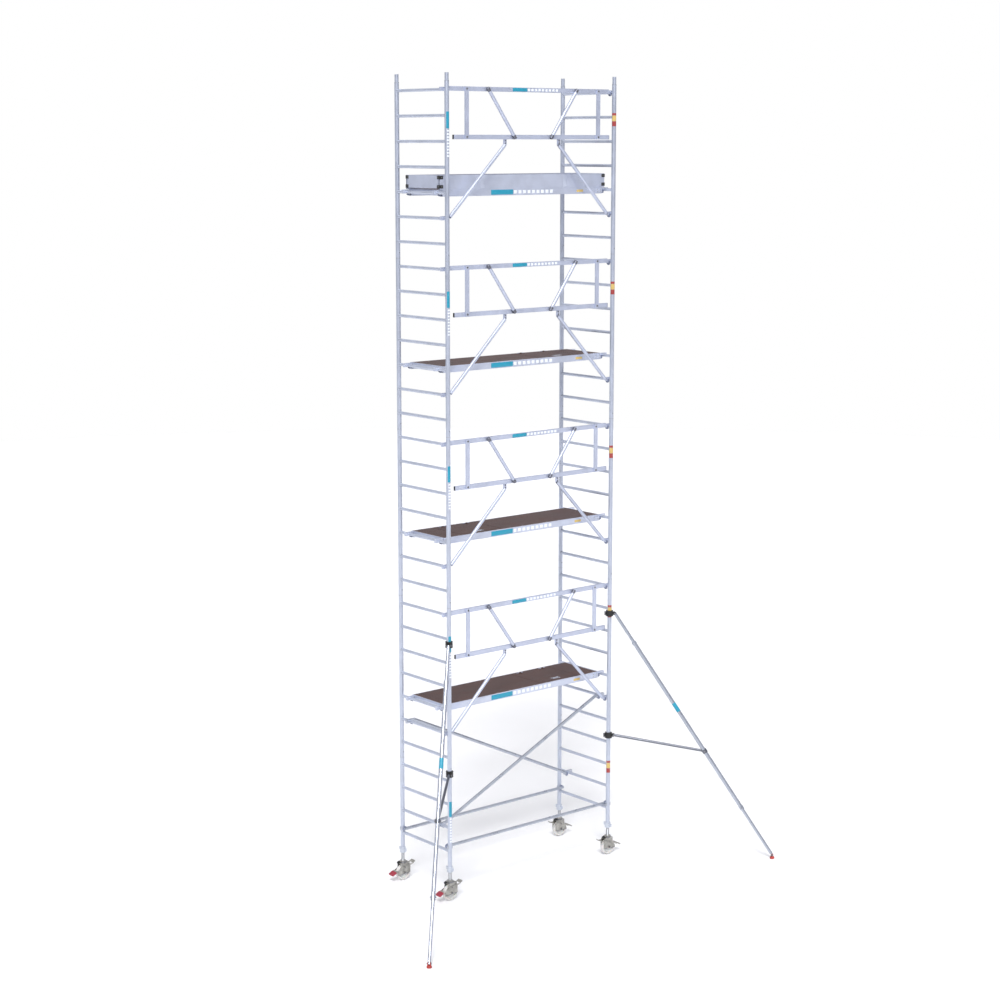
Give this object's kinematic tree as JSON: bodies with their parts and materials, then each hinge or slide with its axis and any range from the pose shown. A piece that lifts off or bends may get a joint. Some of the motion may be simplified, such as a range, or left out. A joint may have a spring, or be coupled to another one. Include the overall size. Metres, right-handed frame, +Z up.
{
  "type": "mobile scaffold tower",
  "caption": "Tall aluminium tower scaffold on braked swivel casters, with ladder end frames, trapdoor platforms, guardrails, braces and outrigger stabilizers.",
  "frame": {"origin": "on the floor in the middle of the footprint of the casters and the stabilizer feet", "axes": "+X along the tower from the left ladder frames to the right ones, +Y to the back, away from the stabilizers, +Z up"},
  "size_m": [5.4268, 2.4294, 9.456],
  "materials": {
    "frame_aluminium": "satin",
    "guardrail_aluminium": "satin",
    "beam_aluminium": "satin",
    "brace_aluminium": "satin",
    "nut_aluminium": "cast",
    "zinc_steel": "zinc plated",
    "pin_steel": "zinc plated",
    "black_steel": "black coated",
    "black_plastic": "moulded",
    "deck_plywood": "film faced, anti-slip",
    "wheel_nylon": "moulded nylon",
    "red_plastic": "moulded",
    "red_rubber": "matt"
  },
  "bodies": {
    "tower": {"left_frame_1": "frame_aluminium", "right_frame_1": "frame_aluminium", "left_frame_2": "frame_aluminium", "right_frame_2": "frame_aluminium", "left_frame_3": "frame_aluminium", "right_frame_3": "frame_aluminium", "left_frame_4": "frame_aluminium", "right_frame_4": "frame_aluminium", "left_frame_5": "frame_aluminium", "right_frame_5": "frame_aluminium", "frame_lock_pins": "pin_steel", "guardrail_1": "guardrail_aluminium", "platform_frame_1": "beam_aluminium", "guardrail_2": "guardrail_aluminium", "platform_frame_2": "beam_aluminium", "guardrail_3": "guardrail_aluminium", "platform_frame_3": "beam_aluminium", "guardrail_4": "guardrail_aluminium", "platform_frame_4": "beam_aluminium", "deck_panels": "deck_plywood", "toe_boards": "beam_aluminium", "toe_board_clips": "black_plastic", "horizontal_brace_front": "brace_aluminium", "horizontal_brace_back": "brace_aluminium", "diagonal_brace_front": "brace_aluminium", "diagonal_brace_back": "brace_aluminium"},
    "leg_fl": {"leg_fl": "zinc_steel"},
    "wing_nut_fl": {"wing_nut_fl": "nut_aluminium"},
    "fork_fl": {"fork_fl": "zinc_steel"},
    "wheel_fl": {"wheel_fl": "wheel_nylon"},
    "brake_fl": {"brake_rocker_fl": "red_plastic"},
    "leg_fr": {"leg_fr": "zinc_steel"},
    "wing_nut_fr": {"wing_nut_fr": "nut_aluminium"},
    "fork_fr": {"fork_fr": "zinc_steel"},
    "wheel_fr": {"wheel_fr": "wheel_nylon"},
    "brake_fr": {"brake_rocker_fr": "zinc_steel"},
    "leg_bl": {"leg_bl": "zinc_steel"},
    "wing_nut_bl": {"wing_nut_bl": "nut_aluminium"},
    "fork_bl": {"fork_bl": "zinc_steel"},
    "wheel_bl": {"wheel_bl": "wheel_nylon"},
    "brake_bl": {"brake_rocker_bl": "red_plastic"},
    "leg_br": {"leg_br": "zinc_steel"},
    "wing_nut_br": {"wing_nut_br": "nut_aluminium"},
    "fork_br": {"fork_br": "zinc_steel"},
    "wheel_br": {"wheel_br": "wheel_nylon"},
    "brake_br": {"brake_rocker_br": "zinc_steel"},
    "hatch_1": {"hatch_1": "deck_plywood"},
    "hatch_2": {"hatch_2": "deck_plywood"},
    "hatch_3": {"hatch_3": "deck_plywood"},
    "hatch_4": {"hatch_4": "deck_plywood"},
    "stabilizer_left": {"stabilizer_left_couplers": "black_steel", "stabilizer_left_tube": "brace_aluminium", "stabilizer_left_strut": "brace_aluminium"},
    "stabilizer_left_leg": {"stabilizer_left_leg": "brace_aluminium"},
    "stabilizer_left_foot": {"stabilizer_left_foot": "red_rubber"},
    "stabilizer_right": {"stabilizer_right_couplers": "black_steel", "stabilizer_right_tube": "brace_aluminium", "stabilizer_right_strut": "brace_aluminium"},
    "stabilizer_right_leg": {"stabilizer_right_leg": "brace_aluminium"},
    "stabilizer_right_foot": {"stabilizer_right_foot": "red_rubber"}
  },
  "joints": [
    {"name": "leg_fl_adjust", "type": "slide", "parent": "tower", "child": "leg_fl", "axis": [0, 0, -1], "range_m": [0, 0.3]},
    {"name": "wing_nut_fl_turn", "type": "hinge", "parent": "tower", "child": "wing_nut_fl", "pos_m": [-1.25, 0.24871, 0.377], "axis": [0, 0, 1], "range_deg": [0, 9001]},
    {"name": "caster_fl_swivel", "type": "hinge", "parent": "leg_fl", "child": "fork_fl", "pos_m": [-1.25, 0.24871, 0.226], "axis": [0, 0, 1], "continuous": true},
    {"name": "wheel_fl_spin", "type": "hinge", "parent": "fork_fl", "child": "wheel_fl", "pos_m": [-1.25, 0.24871, 0.1], "axis": [0, 1, 0], "continuous": true},
    {"name": "brake_fl_rock", "type": "hinge", "parent": "fork_fl", "child": "brake_fl", "pos_m": [-1.25, 0.24871, 0.165], "axis": [0, 1, 0], "range_deg": [0, 25]},
    {"name": "leg_fr_adjust", "type": "slide", "parent": "tower", "child": "leg_fr", "axis": [0, 0, -1], "range_m": [0, 0.3]},
    {"name": "wing_nut_fr_turn", "type": "hinge", "parent": "tower", "child": "wing_nut_fr", "pos_m": [1.25, 0.24871, 0.377], "axis": [0, 0, 1], "range_deg": [0, 9001]},
    {"name": "caster_fr_swivel", "type": "hinge", "parent": "leg_fr", "child": "fork_fr", "pos_m": [1.25, 0.24871, 0.226], "axis": [0, 0, 1], "continuous": true},
    {"name": "wheel_fr_spin", "type": "hinge", "parent": "fork_fr", "child": "wheel_fr", "pos_m": [1.25, 0.24871, 0.1], "axis": [0, 1, 0], "continuous": true},
    {"name": "brake_fr_rock", "type": "hinge", "parent": "fork_fr", "child": "brake_fr", "pos_m": [1.25, 0.24871, 0.165], "axis": [0, -1, 0], "range_deg": [0, 25]},
    {"name": "leg_bl_adjust", "type": "slide", "parent": "tower", "child": "leg_bl", "axis": [0, 0, -1], "range_m": [0, 0.3]},
    {"name": "wing_nut_bl_turn", "type": "hinge", "parent": "tower", "child": "wing_nut_bl", "pos_m": [-1.25, 1.14871, 0.377], "axis": [0, 0, 1], "range_deg": [0, 9001]},
    {"name": "caster_bl_swivel", "type": "hinge", "parent": "leg_bl", "child": "fork_bl", "pos_m": [-1.25, 1.14871, 0.226], "axis": [0, 0, 1], "continuous": true},
    {"name": "wheel_bl_spin", "type": "hinge", "parent": "fork_bl", "child": "wheel_bl", "pos_m": [-1.25, 1.14871, 0.1], "axis": [0, 1, 0], "continuous": true},
    {"name": "brake_bl_rock", "type": "hinge", "parent": "fork_bl", "child": "brake_bl", "pos_m": [-1.25, 1.14871, 0.165], "axis": [0, 1, 0], "range_deg": [0, 25]},
    {"name": "leg_br_adjust", "type": "slide", "parent": "tower", "child": "leg_br", "axis": [0, 0, -1], "range_m": [0, 0.3]},
    {"name": "wing_nut_br_turn", "type": "hinge", "parent": "tower", "child": "wing_nut_br", "pos_m": [1.25, 1.14871, 0.377], "axis": [0, 0, 1], "range_deg": [0, 9001]},
    {"name": "caster_br_swivel", "type": "hinge", "parent": "leg_br", "child": "fork_br", "pos_m": [1.25, 1.14871, 0.226], "axis": [0, 0, 1], "continuous": true},
    {"name": "wheel_br_spin", "type": "hinge", "parent": "fork_br", "child": "wheel_br", "pos_m": [1.25, 1.14871, 0.1], "axis": [0, 1, 0], "continuous": true},
    {"name": "brake_br_rock", "type": "hinge", "parent": "fork_br", "child": "brake_br", "pos_m": [1.25, 1.14871, 0.165], "axis": [0, -1, 0], "range_deg": [0, 25]},
    {"name": "hatch_1_lift", "type": "hinge", "parent": "tower", "child": "hatch_1", "pos_m": [0.6, 0.95371, 2.311], "axis": [-1, 0, 0], "range_deg": [0, 90]},
    {"name": "hatch_2_lift", "type": "hinge", "parent": "tower", "child": "hatch_2", "pos_m": [-0.6, 0.95371, 4.271], "axis": [-1, 0, 0], "range_deg": [0, 90]},
    {"name": "hatch_3_lift", "type": "hinge", "parent": "tower", "child": "hatch_3", "pos_m": [0.6, 0.95371, 6.231], "axis": [-1, 0, 0], "range_deg": [0, 90]},
    {"name": "hatch_4_lift", "type": "hinge", "parent": "tower", "child": "hatch_4", "pos_m": [-0.6, 0.95371, 8.191], "axis": [-1, 0, 0], "range_deg": [0, 90]},
    {"name": "stabilizer_left_swing", "type": "hinge", "parent": "tower", "child": "stabilizer_left", "pos_m": [-1.25, 0.24871, 1.5], "axis": [0, 0, 1], "range_deg": [-45, 45]},
    {"name": "stabilizer_left_extend", "type": "slide", "parent": "stabilizer_left", "child": "stabilizer_left_leg", "axis": [-0.3861, -0.3861, -0.8377], "range_m": [0, 0.8]},
    {"name": "stabilizer_left_foot_tilt", "type": "hinge", "parent": "stabilizer_left_leg", "child": "stabilizer_left_foot", "pos_m": [-2.68543, -1.18671, 0.045], "axis": [0.7071, -0.7071, 0], "range_deg": [-25, 25]},
    {"name": "stabilizer_right_swing", "type": "hinge", "parent": "tower", "child": "stabilizer_right", "pos_m": [1.25, 0.24871, 1.5], "axis": [0, 0, 1], "range_deg": [-45, 45]},
    {"name": "stabilizer_right_extend", "type": "slide", "parent": "stabilizer_right", "child": "stabilizer_right_leg", "axis": [0.3861, -0.3861, -0.8377], "range_m": [0, 0.8]},
    {"name": "stabilizer_right_foot_tilt", "type": "hinge", "parent": "stabilizer_right_leg", "child": "stabilizer_right_foot", "pos_m": [2.68543, -1.18671, 0.045], "axis": [0.7071, 0.7071, 0], "range_deg": [-25, 25]}
  ],
  "couplings": [
    {"joint": "wing_nut_fl_turn", "follows": "leg_fl_adjust", "rad_per_m": 523.6},
    {"joint": "wing_nut_fr_turn", "follows": "leg_fr_adjust", "rad_per_m": 523.6},
    {"joint": "wing_nut_bl_turn", "follows": "leg_bl_adjust", "rad_per_m": 523.6},
    {"joint": "wing_nut_br_turn", "follows": "leg_br_adjust", "rad_per_m": 523.6}
  ]
}
